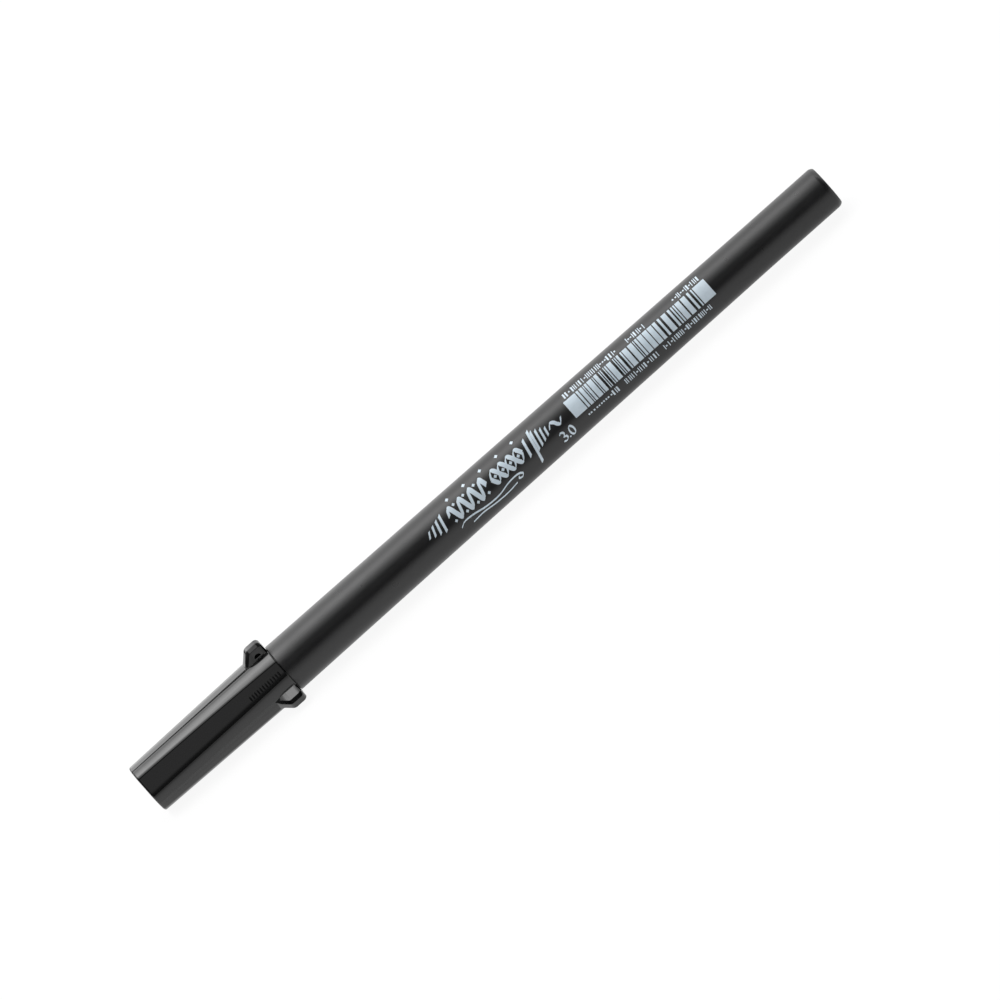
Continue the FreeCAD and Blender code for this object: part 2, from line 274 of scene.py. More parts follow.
def with_stations(outline, pitch):
    """Outline with points added along its long straight runs."""
    points = []
    for i, here in enumerate(outline):
        after = outline[(i + 1) % len(outline)]
        count = max(1, math.ceil((after - here).length / pitch))
        points += [here.lerp(after, k / count) for k in range(count)]
    return points


def smooth_object(name, bm):
    """Object from a bmesh, with its faces turned outwards, smooth apart from its sharp edges."""
    bmesh.ops.recalc_face_normals(bm, faces=bm.faces)
    mesh = bpy.data.meshes.new(name)
    bm.to_mesh(mesh)
    bm.free()
    mesh.shade_smooth()
    mesh.set_sharp_from_angle(angle=math.radians(SHARP_DEG))
    piece = bpy.data.objects.new(name, mesh)
    bpy.context.scene.collection.objects.link(piece)
    return piece


def loft(name, rings, looped=False):
    """Closed skin through rings of equal count, its ends joined up or closed by fans."""
    bm = bmesh.new()
    grid = [[bm.verts.new(point) for point in ring] for ring in rings]
    pairs = list(zip(grid, grid[1:]))
    if looped:
        pairs.append((grid[-1], grid[0]))
    for low, high in pairs:
        for i in range(len(low)):
            j = (i + 1) % len(low)
            bm.faces.new((low[i], low[j], high[j], high[i]))
    for ring in () if looped else (grid[0], grid[-1]):
        centre = bm.verts.new(sum((vert.co for vert in ring), Vector()) / len(ring))
        for i in range(len(ring)):
            bm.faces.new((centre, ring[i], ring[(i + 1) % len(ring)]))
    return smooth_object(name, bm)


def circle(x, radius, angles):
    """Ring of points round the pen's axis at a station."""
    return [place(x, radius * math.cos(a), radius * math.sin(a)) for a in angles]


def even_angles(count):
    """Angles that divide a full turn evenly."""
    return [math.tau * i / count for i in range(count)]


def lay(piece, body, look, replaced=()):
    """Give a piece its material, its body and the CAD nodes it stands for."""
    piece.data.materials.clear()
    piece.data.materials.append(look)
    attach(piece, body)
    if replaced:
        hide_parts(*replaced)


# ---------------------------------------------------------------- materials


def make_look(name, dark, light, rough, grain=4000.0, blotch=220.0, stretch=(1, 1, 1), bump=0.0,
              wear=0.0, sag=0.0, shine=0.5):
    """Procedural surface: blotched colour, uneven roughness, fine grain, moulding waves, edge wear.

    Grain and blotch are noise scales per metre, bump and sag are the depths of the two in mm."""
    look = bpy.data.materials.new(name)
    look.use_nodes = True
    tree = look.node_tree
    nodes = tree.nodes
    links = tree.links
    shader = nodes["Principled BSDF"]
    shader.inputs["Specular IOR Level"].default_value = shine
    coords = nodes.new("ShaderNodeTexCoord")
    mapping = nodes.new("ShaderNodeMapping")
    mapping.inputs["Scale"].default_value = stretch
    links.new(coords.outputs["Object"], mapping.inputs["Vector"])

    def noise(scale, detail, vector):
        node = nodes.new("ShaderNodeTexNoise")
        node.inputs["Scale"].default_value = scale
        node.inputs["Detail"].default_value = detail
        links.new(vector, node.inputs["Vector"])
        return node

    patches = noise(blotch, 4, mapping.outputs["Vector"])
    fine = noise(grain, 3, mapping.outputs["Vector"])
    mottle = nodes.new("ShaderNodeMix")
    mottle.data_type = "RGBA"
    mottle.inputs["A"].default_value = (*dark, 1)
    mottle.inputs["B"].default_value = (*light, 1)
    links.new(patches.outputs["Fac"], mottle.inputs["Factor"])
    color = mottle.outputs["Result"]
    spread = nodes.new("ShaderNodeMapRange")
    spread.inputs["From Min"].default_value = 0.3
    spread.inputs["From Max"].default_value = 0.7
    spread.inputs["To Min"].default_value = rough[0]
    spread.inputs["To Max"].default_value = rough[1]
    links.new(patches.outputs["Fac"], spread.inputs["Value"])
    roughness = spread.outputs["Result"]
    if wear:
        geometry = nodes.new("ShaderNodeNewGeometry")
        edge = nodes.new("ShaderNodeMapRange")
        edge.inputs["From Min"].default_value = WEAR_FROM
        edge.inputs["From Max"].default_value = WEAR_TO
        edge.inputs["To Max"].default_value = wear
        links.new(geometry.outputs["Pointiness"], edge.inputs["Value"])
        broken = nodes.new("ShaderNodeMath")
        broken.operation = "MULTIPLY"
        links.new(edge.outputs["Result"], broken.inputs[0])
        links.new(fine.outputs["Fac"], broken.inputs[1])
        rubbed = nodes.new("ShaderNodeMix")
        rubbed.data_type = "RGBA"
        rubbed.inputs["B"].default_value = WEAR_COLOR
        links.new(broken.outputs["Value"], rubbed.inputs["Factor"])
        links.new(color, rubbed.inputs["A"])
        color = rubbed.outputs["Result"]
    links.new(color, shader.inputs["Base Color"])
    links.new(roughness, shader.inputs["Roughness"])
    normal = None
    for texture, depth in ((fine, bump), (patches, sag)):
        if depth:
            relief = nodes.new("ShaderNodeBump")
            relief.inputs["Distance"].default_value = depth * MM
            links.new(texture.outputs["Fac"], relief.inputs["Height"])
            if normal:
                links.new(normal, relief.inputs["Normal"])
            normal = relief.outputs["Normal"]
    if normal:
        links.new(normal, shader.inputs["Normal"])
    return look


LOOKS = {
    "barrel_satin": make_look(
        "barrel_satin", (0.0115, 0.0115, 0.0120), (0.0150, 0.0150, 0.0155), (0.27, 0.33),
        grain=5200.0, blotch=260.0, bump=0.006, wear=0.2, shine=0.42),
    "cap_gloss": make_look(
        "cap_gloss", (0.0046, 0.0046, 0.0050), (0.0064, 0.0064, 0.0066), (0.03, 0.07),
        grain=2600.0, blotch=150.0, bump=0.0008, wear=0.25, sag=0.012),
    "plug_gloss": make_look(
        "plug_gloss", (0.005, 0.005, 0.0055), (0.008, 0.008, 0.0085), (0.14, 0.22),
        grain=4200.0, blotch=500.0, bump=0.002, wear=0.2),
    "section_gloss": make_look(
        "section_gloss", (0.008, 0.008, 0.0085), (0.012, 0.012, 0.0125), (0.16, 0.26),
        grain=4200.0, blotch=380.0, bump=0.002, wear=0.2),
    "liner_milky": make_look(
        "liner_milky", (0.50, 0.51, 0.52), (0.60, 0.61, 0.62), (0.35, 0.48),
        grain=3000.0, blotch=400.0, bump=0.003),
    "nib_felt": make_look(
        "nib_felt", (0.004, 0.004, 0.006), (0.035, 0.035, 0.045), (0.75, 0.95),
        grain=9000.0, blotch=2400.0, stretch=(0.08, 1, 1), bump=0.05, sag=0.03),
    "ink_fibre": make_look(
        "ink_fibre", (0.004, 0.004, 0.006), (0.03, 0.03, 0.04), (0.7, 0.95),
        grain=7000.0, blotch=1800.0, stretch=(0.05, 1, 1), bump=0.05),
    "film": make_look(
        "film", (0.68, 0.70, 0.73), (0.80, 0.82, 0.85), (0.18, 0.30),
        grain=1500.0, blotch=300.0, bump=0.004, sag=0.01),
    "mark_black": make_look(
        "mark_black", (0.0008, 0.0008, 0.0010), (0.0014, 0.0014, 0.0016), (0.32, 0.45),
        grain=4000.0, blotch=500.0, bump=0.002, shine=0.22),
    "print_ink": make_look(
        "print_ink", (0.58, 0.68, 0.76), (0.68, 0.78, 0.86), (0.38, 0.55),
        grain=6000.0, blotch=2200.0, bump=0.003),
}


# ---------------------------------------------------------------- barrel and tail


def barrel_radius(x):
    """Outside radius of the barrel at a station."""
    return blend(BARREL_FRONT_R, LAND_R, (x - X_BARREL) / (X_TAIL - LAND_LENGTH - X_BARREL))


def turned(name, outline):
    """Turned piece from a closed outline of (station, radius) points clear of the axis."""
    rings = [circle(p.x, p.y, even_angles(BARREL_SIDES)) for p in outline]
    return loft(name, rings, looped=True)


def make_barrel():
    """Barrel moulding: tapered tube with a straight tail, stepped seats at both ends."""
    step = X_BARREL + SECTION_SEAT_DEPTH
    corners = [
        (X_BARREL, SECTION_SEAT_R),
        (X_BARREL, FRONT_LIP_R),
        (X_BARREL - FRONT_LIP, FRONT_LIP_R),
        (X_BARREL - FRONT_LIP, BARREL_FRONT_R),
        (X_TAIL - LAND_LENGTH, LAND_R),
        (X_TAIL - TAIL_SHOULDER[0], LAND_R),
        (X_TAIL, LAND_R - TAIL_EDGE[0]),
        (X_TAIL, PLUG_SEAT_R),
        (X_TAIL - PLUG_SEAT_DEPTH, PLUG_SEAT_R),
        (X_TAIL - PLUG_SEAT_DEPTH, BARREL_BORE_R),
        (step, BARREL_BORE_R),
        (step, SECTION_SEAT_R),
    ]
    radii = [0, 0, SHARP_CORNER_R, BARREL_FRONT_ROUND, 0, TAIL_SHOULDER[1], TAIL_EDGE[1],
             SHARP_CORNER_R, 0, 0, 0, 0]
    piece = turned("barrel_body", with_stations(rounded(corners, radii, 8), STATION_PITCH))
    lay(piece, "barrel", LOOKS["barrel_satin"], ["barrel_tube"])


def make_tail_plug():
    """Stopper in the tail: shallow dome with a turned ring and a gate dimple at its middle."""
    crown = in_mm(plug_high.x)
    back = in_mm(plug_low.x)
    angles = even_angles(PLUG_SIDES)
    rings = [circle(crown - drop, radius, angles) for drop, radius in PLUG_PROFILE]
    rings += [circle(back, PLUG_SEAT_R, angles), circle(back, PLUG_HOLLOW_R, angles)]
    rings += [circle(crown - PLUG_WALL, r, angles) for r in (PLUG_HOLLOW_R, PLUG_HOLLOW_R / 2)]
    lay(loft("tail_stopper", rings), "barrel", LOOKS["plug_gloss"], ["tail_plug"])


# ---------------------------------------------------------------- cap


def corner_inset(x):
    """How far the cap's outline is drawn in by the rounding of its end and of its mouth."""
    for station, radius in ((X_CAP_END, CAP_END_ROUND), (X_MOUTH, CAP_MOUTH_ROUND)):
        gap = abs(x - station)
        if gap < radius:
            return radius - math.sqrt(radius ** 2 - (radius - gap) ** 2)
    return 0.0


def fin_outline(inset, slope_inset):
    """Fin seen from the side as (station, height) points, from its foot round to the mouth plane."""
    slope = (FIN_BASE_LENGTH - FIN_TOP_LENGTH) / (FIN_TIP_R - CAP_MOUTH_R)
    foot = X_MOUTH - FIN_BASE_LENGTH + slope_inset * math.hypot(1, slope)
    top = FIN_TIP_R - inset
    corners = [
        (foot - slope * FIN_ROOT, CAP_MOUTH_R - FIN_ROOT),
        (foot + slope * (top - CAP_MOUTH_R), top),
        (X_MOUTH, top),
        (X_MOUTH, 0),
    ]
    radii = [0, FIN_FRONT_CORNER_R - inset / 2, FIN_BACK_CORNER_R, 0]
    return rounded(corners, radii, FIN_STEPS)[:-1]


def height_at(outline, x):
    """Height of an outline at a station, or zero outside it."""
    for a, b in zip(outline, outline[1:]):
        if a.x <= x <= b.x and b.x > a.x:
            return blend(a.y, b.y, (x - a.x) / (b.x - a.x))
    return 0.0


FIN_RIM = fin_outline(0.0, 0.0)
FIN_WALL = fin_outline(FIN_BEVEL, FIN_SLOPE_BEVEL)


def half_section(x, stepped):
    """Cap outline at a station from a rib's middle to a neighbouring flat's, as (angle, radius) points.

    Each rib stands proud on one side, where its fin has the pocket, and runs smoothly into the wall
    on the other."""
    share = (x - X_CAP_END) / (X_MOUTH - X_CAP_END)
    inset = corner_inset(x)
    round_r = blend(CAP_END_R, CAP_MOUTH_R, share) - inset
    flat = blend(FLAT_END_DIST, FLAT_MOUTH_DIST, share) - inset
    plain_edge_r = blend(PLAIN_END_EDGE_R, PLAIN_MOUTH_EDGE_R, share)
    edge_r = (STEP_SIDE_EDGE_R if stepped else plain_edge_r) - inset
    dip = blend(RIB_DIP_END, RIB_DIP_MOUTH, share) if stepped else 0.0
    rim_top = max(round_r, height_at(FIN_RIM, x))
    raised = (rim_top - round_r) / FIN_BEVEL
    rib_half = blend(RIB_END_HALF, RIB_HALF, share)
    rim_half = blend(rib_half - RIB_EDGE, FIN_RIM_HALF, raised)
    plain_top = round_r - RIB_EDGE if stepped else math.sqrt(round_r ** 2 - rib_half ** 2)
    wall_top = max(plain_top, height_at(FIN_WALL, min(x, X_MOUTH - FIN_CLOSING)))
    closing = (x - X_MOUTH + FIN_CLOSING) / FIN_CLOSING
    closed = blend(1.0, FIN_CLOSED_SHARE, closing)
    wall_half = blend(rib_half, FIN_RIM_HALF + FIN_CLOSED_SPREAD, closing)
    if raised > 0:
        wall_top = rim_top - max(rim_top - wall_top, RIB_EDGE) * closed
    draft = blend(0.0, FIN_DRAFT, raised / FIN_DRAFT_RISE) + RIB_FOOT_SPREAD
    foot_half = wall_half + (0.0 if stepped else draft)
    foot = math.sqrt((round_r - dip) ** 2 - foot_half ** 2)
    tops = []
    for k in range(RIB_TOP_STEPS):
        u = rim_half * k / RIB_TOP_STEPS
        arched = rim_top if stepped else math.sqrt(round_r ** 2 - u ** 2)
        tops.append((u, blend(arched, rim_top, raised)))
    rim_edge = rim_top if stepped else blend(math.sqrt(round_r ** 2 - rim_half ** 2), rim_top, raised)
    centre_u = math.sqrt((round_r - edge_r) ** 2 - (flat - edge_r) ** 2)
    turn_end = math.atan2(centre_u, flat - edge_r)
    foot_angle = math.atan2(foot_half, foot)
    round_end = math.pi / SIDES - turn_end
    arc = []
    for k in range(1, ARC_STEPS + 1):
        angle = blend(foot_angle, round_end, k / ARC_STEPS)
        reach = round_r - dip * max(0.0, 1 - k / RIB_DIP_STEPS)
        arc.append((reach * math.sin(angle), reach * math.cos(angle)))
    corners = tops + [(rim_half, rim_edge), (wall_half, wall_top), (foot_half, foot)] + arc + [(0, 0)]
    edge_round = foot_round = TINY_ROUND
    if stepped or raised > FIN_ROUND_FROM:
        edge_round = blend(RIB_ROUND, FIN_ROUND, raised - FIN_ROUND_FROM) * closed
        foot_round = RIB_ROUND
    radii = [0] * len(tops) + [edge_round, edge_round, foot_round] + [0] * len(arc) + [0]
    points = rounded(corners, radii, RIB_STEPS)[:-1]
    polar = [(math.atan2(p.x, p.y), p.length) for p in points]
    for k in range(1, ARC_STEPS + 1):
        turn = turn_end * (1 - k / ARC_STEPS)
        u = centre_u + edge_r * math.sin(turn)
        n = flat - edge_r + edge_r * math.cos(turn)
        polar.append((math.pi / SIDES - math.atan2(u, n), math.hypot(u, n)))
    for k in range(1, FLAT_STEPS + 1):
        u = centre_u * (1 - k / FLAT_STEPS)
        polar.append((math.pi / SIDES - math.atan2(u, flat), math.hypot(u, flat)))
    return polar


def cap_section(x):
    """Whole cap outline at a station: three ribs and three flats, as (angle, radius) points."""
    leaving = half_section(x, True)
    arriving = half_section(x, False)
    whole = []
    for side in range(SIDES):
        start = math.pi / 2 + side * math.tau / SIDES
        whole += [(start + angle, radius) for angle, radius in leaving[:-1]]
        whole += [(start + math.tau / SIDES - angle, radius) for angle, radius in arriving[:0:-1]]
    return whole


def cap_stations():
    """Stations where the cap's outline is sampled: close at roundings and fins, wide between."""
    bends = [X_CAP_END + CAP_END_ROUND * (1 - math.cos(math.radians(a))) for a in range(0, 91, 15)]
    bends += [X_MOUTH - CAP_MOUTH_ROUND * (1 - math.cos(math.radians(a))) for a in range(0, 91, 22)]
    bends += [p.x for p in FIN_RIM + FIN_WALL if p.x <= X_MOUTH]
    bends += [X_MOUTH - FIN_CLOSING - 0.06, X_MOUTH - FIN_CLOSING, X_MOUTH - FIN_CLOSING + 0.05]
    bends += [X_MOUTH - FIN_TOP_LENGTH + 0.35, X_MOUTH - FIN_BASE_LENGTH - 0.06]
    plain = X_CAP_END + CAP_END_ROUND
    while plain < X_MOUTH - FIN_BASE_LENGTH - 1:
        bends.append(plain)
        plain += PLAIN_PITCH
    stations = []
    for x in sorted(bends):
        if not stations or x - stations[-1] > LEAST_PITCH:
            stations.append(x)
    stations[-1] = X_MOUTH
    return stations


def pocket_cutter():
    """Half-round cutters for the pockets, one on the same side of each fin."""
    bm = bmesh.new()
    middle = X_MOUTH - POCKET_FROM_MOUTH
    base = CAP_MOUTH_R + POCKET_LIFT
    sill = base - POCKET_SILL
    shape = [(middle + POCKET_HALF * math.cos(a), base + POCKET_RISE * math.sin(a))
             for a in (math.pi * k / 20 for k in range(21))]
    shape += [(middle - POCKET_HALF, sill), (middle + POCKET_HALF, sill)]
    for side in range(SIDES):
        turn = Matrix.Rotation(side * math.tau / SIDES, 3, "X")
        ends = []
        for y in (-POCKET_INNER, -2 * RIB_HALF):
            spots = [turn @ Vector((x, y, z)) for x, z in shape]
            ends.append([bm.verts.new(place(*spot)) for spot in spots])
        for i in range(len(shape)):
            j = (i + 1) % len(shape)
            bm.faces.new((ends[0][i], ends[0][j], ends[1][j], ends[1][i]))
        bm.faces.new(ends[0])
        bm.faces.new(ends[1])
    return smooth_object("pocket_cutter", bm)


def cut(piece, cutter):
    """Subtract the cutter from a piece and throw the cutter away."""
    step = piece.modifiers.new("cut", "BOOLEAN")
    step.operation = "DIFFERENCE"
    step.solver = "EXACT"
    step.object = cutter
    result = bpy.data.meshes.new_from_object(piece.evaluated_get(bpy.context.evaluated_depsgraph_get()))
    piece.modifiers.remove(step)
    piece.data = result
    bpy.data.objects.remove(cutter)
    result.shade_smooth()
    result.set_sharp_from_angle(angle=math.radians(SHARP_DEG))


def crisp(piece):
    """Let the large faces set a piece's shading, so that only bevels and roundings bend the light."""
    step = piece.modifiers.new("crisp", "WEIGHTED_NORMAL")
    step.keep_sharp = True
    result = bpy.data.meshes.new_from_object(piece.evaluated_get(bpy.context.evaluated_depsgraph_get()))
    piece.modifiers.remove(step)
    piece.data = result


def make_cap():
    """Cap moulding: closed end with a gate dimple, faceted wall, fins, mouth and stepped bore."""
    end = cap_section(X_CAP_END)
    mouth_angles = [angle for angle, radius in cap_section(X_MOUTH)]
    end_angles = [angle for angle, radius in end]
    rings = [circle(X_CAP_END + depth, radius, end_angles) for depth, radius in CAP_END_PROFILE]
    rings.append([place(X_CAP_END, CAP_END_RING * r * math.cos(a), CAP_END_RING * r * math.sin(a))
                  for a, r in end])
    for x in cap_stations():
        rings.append([place(x, r * math.cos(a), r * math.sin(a)) for a, r in cap_section(x)])
    rings += [circle(X_MOUTH - depth, radius, mouth_angles) for depth, radius in BORE_PROFILE]
    piece = loft("cap_moulding", rings)
    cut(piece, pocket_cutter())
    crisp(piece)
    lay(piece, "cap", LOOKS["cap_gloss"], ["cap_shell"])


def make_cap_mark():
    """Even row of small dark ridges low on the flat that faces the camera, near the mouth."""
    bm = bmesh.new()
    face = math.pi / 2 + math.pi / SIDES
    for number in range(MARK_COUNT):
        middle_x = X_MOUTH - MARK_FROM_MOUTH + number * MARK_PITCH
        rings = []
        for size, height in MARK_PROFILE:
            ring = []
            for k in range(MARK_SIDES):
                turn = math.tau * k / MARK_SIDES
                u = MARK_DROP + size * MARK_HALF_HEIGHT * math.sin(turn)
                x = middle_x + size * MARK_HALF_WIDTH * math.cos(turn)
                share = (x - X_CAP_END) / (X_MOUTH - X_CAP_END)
                n = blend(FLAT_END_DIST, FLAT_MOUTH_DIST, share) + height
                ring.append(bm.verts.new(place(x, n * math.cos(face) - u * math.sin(face),
                                               n * math.sin(face) + u * math.cos(face))))
            rings.append(ring)
        for low, high in zip(rings, rings[1:]):
            for k in range(MARK_SIDES):
                bm.faces.new((low[k], low[k - 1], high[k - 1], high[k]))
        bm.faces.new(rings[0])
        bm.faces.new(rings[-1])
    lay(smooth_object("cap_mark", bm), "cap", LOOKS["mark_black"])


# ---------------------------------------------------------------- nib


def nib_outline(half_thickness, half_width, corner):
    """Cross-section of the nib: a rectangle with rounded corners."""
    corners = [(half_thickness, half_width), (-half_thickness, half_width),
               (-half_thickness, -half_width), (half_thickness, -half_width)]
    return rounded(corners, [corner] * 4, NIB_CORNER_STEPS)


def nib_ring(x, half_thickness, half_width, fade):
    """Ring of the nib's blade, skewed as the writing edge is, by a share that fades to its back."""
    corner = min(NIB_CORNER, NIB_CORNER_SHARE * half_thickness)
    ring = []
    for p in nib_outline(half_thickness, half_width, corner):
        shift = NIB_SKEW * fade * (NIB_HALF_WIDTH - p.y) / (2 * NIB_HALF_WIDTH)
        ring.append(place(x + shift, p.x, p.y))
    return ring


def make_nib():
    """Chisel nib: wedge with a skewed writing edge, flat blade, round shank behind."""
    tip = in_mm(nib_low.x)
    bevel = tip + NIB_BEVEL_LENGTH
    back = tip + NIB_BLADE_LENGTH
    rings = []
    for angle in (20, 45, 70, 90):
        a = math.radians(angle)
        trim = NIB_TIP_ROUND * (1 - math.sin(a))
        x = tip + NIB_TIP_ROUND * (1 - math.cos(a))
        rings.append(nib_ring(x, NIB_HALF_EDGE - trim, NIB_HALF_WIDTH - trim, 1.0))
    for k in range(1, NIB_BEVEL_STEPS + 1):
        share = k / NIB_BEVEL_STEPS
        thickness = blend(NIB_HALF_EDGE, NIB_HALF_THICKNESS, share)
        rings.append(nib_ring(blend(tip, bevel, share), thickness, NIB_HALF_WIDTH, 1.0))
    for k in range(1, NIB_BLADE_STEPS + 1):
        share = k / NIB_BLADE_STEPS
        rings.append(nib_ring(blend(bevel, back, share), NIB_HALF_THICKNESS, NIB_HALF_WIDTH, 1 - share))
    outline = nib_outline(NIB_HALF_THICKNESS, NIB_HALF_WIDTH, NIB_CORNER)
    angles = [math.atan2(p.y, p.x) for p in outline]
    shank = back + NIB_SHANK_LENGTH
    point = shank + NIB_POINT_LENGTH
    for x, radius in ((back, NIB_SHANK_R), (shank, NIB_SHANK_R), (point, NIB_SHANK_R / 2)):
        rings.append(circle(x, radius, angles))
    lay(loft("chisel_nib", rings), "barrel", LOOKS["nib_felt"], ["nib"])


# ---------------------------------------------------------------- print


def on_barrel(x, s, lift):
    """Point on the barrel: x along it, s round it from the line that faces the camera."""
    radius = barrel_radius(x)
    angle = math.radians(PRINT_FACE_DEG) - s / radius
    return place(x, (radius + lift) * math.cos(angle), (radius + lift) * math.sin(angle))


def film(bm, rows, looped=False):
    """Thin closed layer of ink over a grid of (x, s) points."""
    top = [[bm.verts.new(on_barrel(x, s, PRINT_LIFT)) for x, s in row] for row in rows]
    low = [[bm.verts.new(on_barrel(x, s, -PRINT_LIFT)) for x, s in row] for row in rows]
    pairs = [(i, i + 1) for i in range(len(rows) - 1)]
    if looped:
        pairs.append((len(rows) - 1, 0))
    last = len(rows[0]) - 1
    for i, k in pairs:
        for sheet in (top, low):
            for j in range(last):
                bm.faces.new((sheet[i][j], sheet[i][j + 1], sheet[k][j + 1], sheet[k][j]))
        for j in (0, last):
            bm.faces.new((top[i][j], top[k][j], low[k][j], low[i][j]))
    for i in () if looped else (0, len(rows) - 1):
        for j in range(last):
            bm.faces.new((top[i][j], top[i][j + 1], low[i][j + 1], low[i][j]))


def block(bm, x_low, x_high, s_low, s_high):
    """Straight-sided printed bar."""
    count = max(1, math.ceil((s_high - s_low) / BLOCK_PITCH))
    film(bm, [[(x_low, blend(s_low, s_high, k / count)), (x_high, blend(s_low, s_high, k / count))]
              for k in range(count + 1)])


def ribbon(bm, path, width, looped=False):
    """Pen stroke: its thickness follows the angle between the path and a broad nib's fixed slant."""
    slant = math.radians(PEN_SLANT_DEG)
    pen = Vector((math.cos(slant), math.sin(slant)))
    lengths = [0.0]
    for a, b in zip(path, path[1:]):
        lengths.append(lengths[-1] + (b - a).length)
    rows = []
    for i, here in enumerate(path):
        before = path[i - 1] if i or looped else here
        after = path[(i + 1) % len(path)] if i < len(path) - 1 or looped else here
        along = (after - before).normalized()
        across = Vector((-along.y, along.x))
        sine = pen.dot(across)
        half = math.hypot(HAIRLINE, width * sine) / 2
        near = min(lengths[i], lengths[-1] - lengths[i]) / (STROKE_END_REACH * width)
        lean = 0.0 if looped else blend(pen.dot(along) / (sine or 1), 0.0, near)
        lean = min(max(lean, -1.0), 1.0)
        row = []
        for j in range(RIBBON_COLUMNS + 1):
            side = 2 * j / RIBBON_COLUMNS - 1
            row.append(tuple(here + (across + along * lean) * half * side))
        rows.append(row)
    film(bm, rows, looped)


def curve(points, steps=8):
    """Smooth path through points (Catmull-Rom)."""
    spots = [Vector(p) for p in points]
    spots = [2 * spots[0] - spots[1]] + spots + [2 * spots[-1] - spots[-2]]
    path = []
    for a, b, c, d in zip(spots, spots[1:], spots[2:], spots[3:]):
        for k in range(steps):
            t = k / steps
            path.append(0.5 * (2 * b + (c - a) * t + (2 * a - 5 * b + 4 * c - d) * t ** 2
                               + (3 * b - a - 3 * c + d) * t ** 3))
    path.append(spots[-2])
    return path


def line(start, finish, steps=6):
    """Straight path between two points."""
    return [Vector(start).lerp(Vector(finish), k / steps) for k in range(steps + 1)]


def nib_dot(bm, x, s, size):
    """Diamond left by pressing the pen once."""
    slant = math.radians(PEN_SLANT_DEG - 90)
    reach = Vector((math.cos(slant), math.sin(slant))) * size / 2
    ribbon(bm, line(Vector((x, s)) - reach, Vector((x, s)) + reach, 4), size)


def wave(x_low, x_high, middle, swing, turns, phase=0.0, grow=0.0):
    """Sine band along the barrel, its swing growing or shrinking on the way."""
    total = int(WAVE_STEPS * turns)
    path = []
    for k in range(total + 1):
        rise = math.sin(phase + math.tau * turns * k / total)
        path.append(Vector((blend(x_low, x_high, k / total),
                            middle + swing * (1 + grow * k / total) * rise)))
    return path


def make_flourish():
    """Band of pen ornament: slants, a wave with dots, a twisted cord, a fan and two swashes."""
    bm = bmesh.new()
    for k in range(4):
        x = -12.3 + 0.95 * k
        ribbon(bm, line((x + 0.62, 0.9 + 0.32 * k), (x, -0.2 - 0.28 * k), 10), 0.7)
    ribbon(bm, wave(-7.6, 0.2, 0.42, 1.25, 3.5, 0.0, 0.2), 0.85)
    for x, s in ((-7.2, -0.75), (-5.9, 1.6), (-4.85, -0.75), (-3.75, 1.7), (-2.6, -0.85),
                 (-1.45, 1.8), (-0.3, -0.85)):
        nib_dot(bm, x, s, 0.42)
    ribbon(bm, wave(1.3, 7.9, 0.45, 1.15, 2.0), 0.75)
    ribbon(bm, wave(1.3, 7.9, 0.45, 1.15, 2.0, math.pi), 0.75)
    for x in (2.15, 3.8, 5.4, 7.05):
        nib_dot(bm, x, 0.45, 0.45)
    fan = ((2.0, -1.0), (2.75, -3.1), (2.2, -1.1), (1.9, -0.9), (1.5, -0.6), (1.15, -0.3))
    for k, (top, foot) in enumerate(fan):
        x = 8.6 + 0.86 * k
        ribbon(bm, line((x + 0.2 * (top - foot), top), (x, foot), 14), 0.7 - 0.03 * k)
    ribbon(bm, curve([(13.6, 0.2), (14.2, 0.95), (14.8, 0.75), (15.2, 0.1), (15.7, -0.05),
                      (16.3, 0.75)]), 0.6)
    for x in (-6.2, -2.7, 0.8, 4.3, 7.6):
        nib_dot(bm, x, 3.05, 0.5)
    ribbon(bm, curve([(-7.3, -2.3), (-6.2, -1.75), (-4.4, -1.85), (-2.0, -2.3), (0.6, -2.35),
                      (3.0, -1.8), (4.9, -1.7), (5.8, -2.1), (5.5, -2.6), (4.9, -2.5),
                      (5.0, -2.15)], 10), 0.36)
    ribbon(bm, curve([(-5.2, -2.95), (-3.0, -2.8), (-0.5, -3.1), (2.0, -3.15), (4.2, -2.85)], 10), 0.3)
    lay(smooth_object("print_flourish", bm), "barrel", LOOKS["print_ink"])


def make_size_number():
    """Nib width, 3.0, in pen strokes."""
    bm = bmesh.new()
    for bowl in ([(14.15, -1.6), (14.45, -1.36), (14.85, -1.55), (14.9, -1.9), (14.6, -2.2)],
                 [(14.55, -2.2), (15.0, -2.4), (15.02, -2.85), (14.6, -3.15), (14.15, -2.95)]):
        ribbon(bm, curve(bowl, 6), 0.36)
    nib_dot(bm, 15.45, -3.05, 0.26)
    ribbon(bm, [Vector((16.3 + 0.42 * math.cos(a), -2.28 + 0.86 * math.sin(a)))
                for a in (math.tau * k / 36 for k in range(36))], 0.34, looped=True)
    lay(smooth_object("print_size", bm), "barrel", LOOKS["print_ink"])


